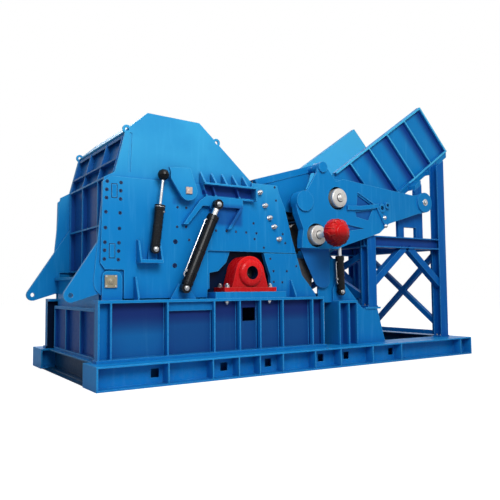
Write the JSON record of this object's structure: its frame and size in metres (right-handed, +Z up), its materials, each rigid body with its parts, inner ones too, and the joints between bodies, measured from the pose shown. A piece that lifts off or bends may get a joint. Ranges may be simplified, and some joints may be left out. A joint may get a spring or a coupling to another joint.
{
  "type": "scrap metal crusher",
  "caption": "Skid-mounted hammer shredder: ribbed base, hydraulically tilting housing over a horizontal rotor, roller feed arm and an inclined chute on a braced tower.",
  "frame": {"origin": "middle of the skid at floor level, on the plate that closes its underside", "axes": "+X along the machine towards the feed chute, +Z up, -Y the side whose bearing, cylinders and lower roller motor face the viewer"},
  "size_m": [9.9542, 5.04, 6.191],
  "materials": {
    "blue_paint": "gloss enamel",
    "red_paint": "gloss enamel",
    "black_gloss": "gloss black",
    "bronze": "machined bronze",
    "steel": "turned steel",
    "dark_steel": "worn cast steel"
  },
  "bodies": {
    "frame": {"base_beam_front": "blue_paint", "base_beam_rear": "blue_paint", "cross_frame": "blue_paint", "pedestal_front": "blue_paint", "pedestal_rear": "blue_paint", "pedestal_end": "blue_paint", "pedestal_back": "blue_paint", "hinge_pin_front": "bronze", "hinge_pin_rear": "bronze", "casing_lower_front": "blue_paint", "casing_lower_rear": "blue_paint", "anvil": "blue_paint", "bearing_front": "red_paint", "bearing_rear": "red_paint", "right_pedestal_front": "blue_paint", "right_pedestal_rear": "blue_paint", "tower_frame_front": "blue_paint", "tower_frame_rear": "blue_paint", "tower_cross_left": "blue_paint", "tower_cross_right": "blue_paint", "arm_stand_front": "blue_paint", "arm_stand_rear": "blue_paint", "chute_side_front": "blue_paint", "chute_side_rear": "blue_paint", "chute_floor": "blue_paint"},
    "housing": {"housing_side_front": "blue_paint", "housing_side_rear": "blue_paint", "housing_bracket_front": "blue_paint", "housing_bracket_rear": "blue_paint", "hood_roof": "blue_paint", "hood_end": "blue_paint"},
    "reject_gate": {"gate": "blue_paint"},
    "rotor_line": {"rotor": "dark_steel"},
    "feed_arm": {"arm_side_front": "blue_paint", "arm_side_rear": "blue_paint", "arm_cover": "blue_paint", "motor_lower": "red_paint", "motor_upper": "red_paint"},
    "upper_roller": {"roller_upper": "steel"},
    "lower_roller": {"roller_lower": "steel"},
    "lift_barrels": {"lift_barrel_front": "black_gloss", "lift_barrel_rear": "black_gloss"},
    "lift_rods": {"lift_rod_front": "black_gloss", "lift_rod_rear": "black_gloss"},
    "gate_barrels": {"gate_barrel_front": "black_gloss", "gate_barrel_rear": "black_gloss"},
    "gate_rods": {"gate_rod_front": "black_gloss", "gate_rod_rear": "black_gloss"},
    "arm_barrels": {"arm_barrel_front": "black_gloss", "arm_barrel_rear": "black_gloss"},
    "arm_rods": {"arm_rod_front": "black_gloss", "arm_rod_rear": "black_gloss"}
  },
  "joints": [
    {"name": "housing_tilt", "type": "hinge", "parent": "frame", "child": "housing", "pos_m": [-4.18, 0, 1.75], "axis": [0, -1, 0], "range_deg": [0, 45]},
    {"name": "reject_gate_swing", "type": "hinge", "parent": "housing", "child": "reject_gate", "pos_m": [-2.78, 0, 3.41], "axis": [0, -1, 0], "range_deg": [0, 30]},
    {"name": "rotor_spin", "type": "hinge", "parent": "frame", "child": "rotor_line", "pos_m": [-1.455, 0, 1.915], "axis": [0, -1, 0], "continuous": true},
    {"name": "feed_arm_lift", "type": "hinge", "parent": "frame", "child": "feed_arm", "pos_m": [3.52, 0, 3.644], "axis": [0, 1, 0], "range_deg": [0, 12]},
    {"name": "upper_roller_spin", "type": "hinge", "parent": "feed_arm", "child": "upper_roller", "pos_m": [0.765, 0, 3.535], "axis": [0, -1, 0], "continuous": true},
    {"name": "lower_roller_spin", "type": "hinge", "parent": "feed_arm", "child": "lower_roller", "pos_m": [0.174, 0, 2.713], "axis": [0, -1, 0], "continuous": true},
    {"name": "lift_barrel_swing", "type": "hinge", "parent": "frame", "child": "lift_barrels", "pos_m": [-2.87, 0, 1.629], "axis": [0, -1, 0], "range_deg": [0, 43.42]},
    {"name": "lift_rod_slide", "type": "slide", "parent": "lift_barrels", "child": "lift_rods", "axis": [0.3994, 0, 0.9168], "range_m": [0, 1.0052]},
    {"name": "gate_barrel_swing", "type": "hinge", "parent": "housing", "child": "gate_barrels", "pos_m": [-3.43, 0, 2.316], "axis": [0, -1, 0], "range_deg": [0, 1.39]},
    {"name": "gate_rod_slide", "type": "slide", "parent": "gate_barrels", "child": "gate_rods", "axis": [0.1182, 0, 0.993], "range_m": [-0.2832, 0]},
    {"name": "arm_barrel_swing", "type": "hinge", "parent": "frame", "child": "arm_barrels", "pos_m": [0.92, 0, 1.527], "axis": [0, -1, 0], "range_deg": [0, 4.78]},
    {"name": "arm_rod_slide", "type": "slide", "parent": "arm_barrels", "child": "arm_rods", "axis": [-0.0373, 0, 0.9993], "range_m": [0, 0.583]}
  ],
  "couplings": [
    {"joint": "lift_barrel_swing", "follows": "housing_tilt", "ratio": 0.965},
    {"joint": "lift_rod_slide", "follows": "housing_tilt", "m_per_rad": 1.2798},
    {"joint": "gate_barrel_swing", "follows": "reject_gate_swing", "ratio": 0.04643},
    {"joint": "gate_rod_slide", "follows": "reject_gate_swing", "m_per_rad": -0.54095},
    {"joint": "arm_barrel_swing", "follows": "feed_arm_lift", "ratio": 0.39806},
    {"joint": "arm_rod_slide", "follows": "feed_arm_lift", "m_per_rad": 2.7836}
  ]
}
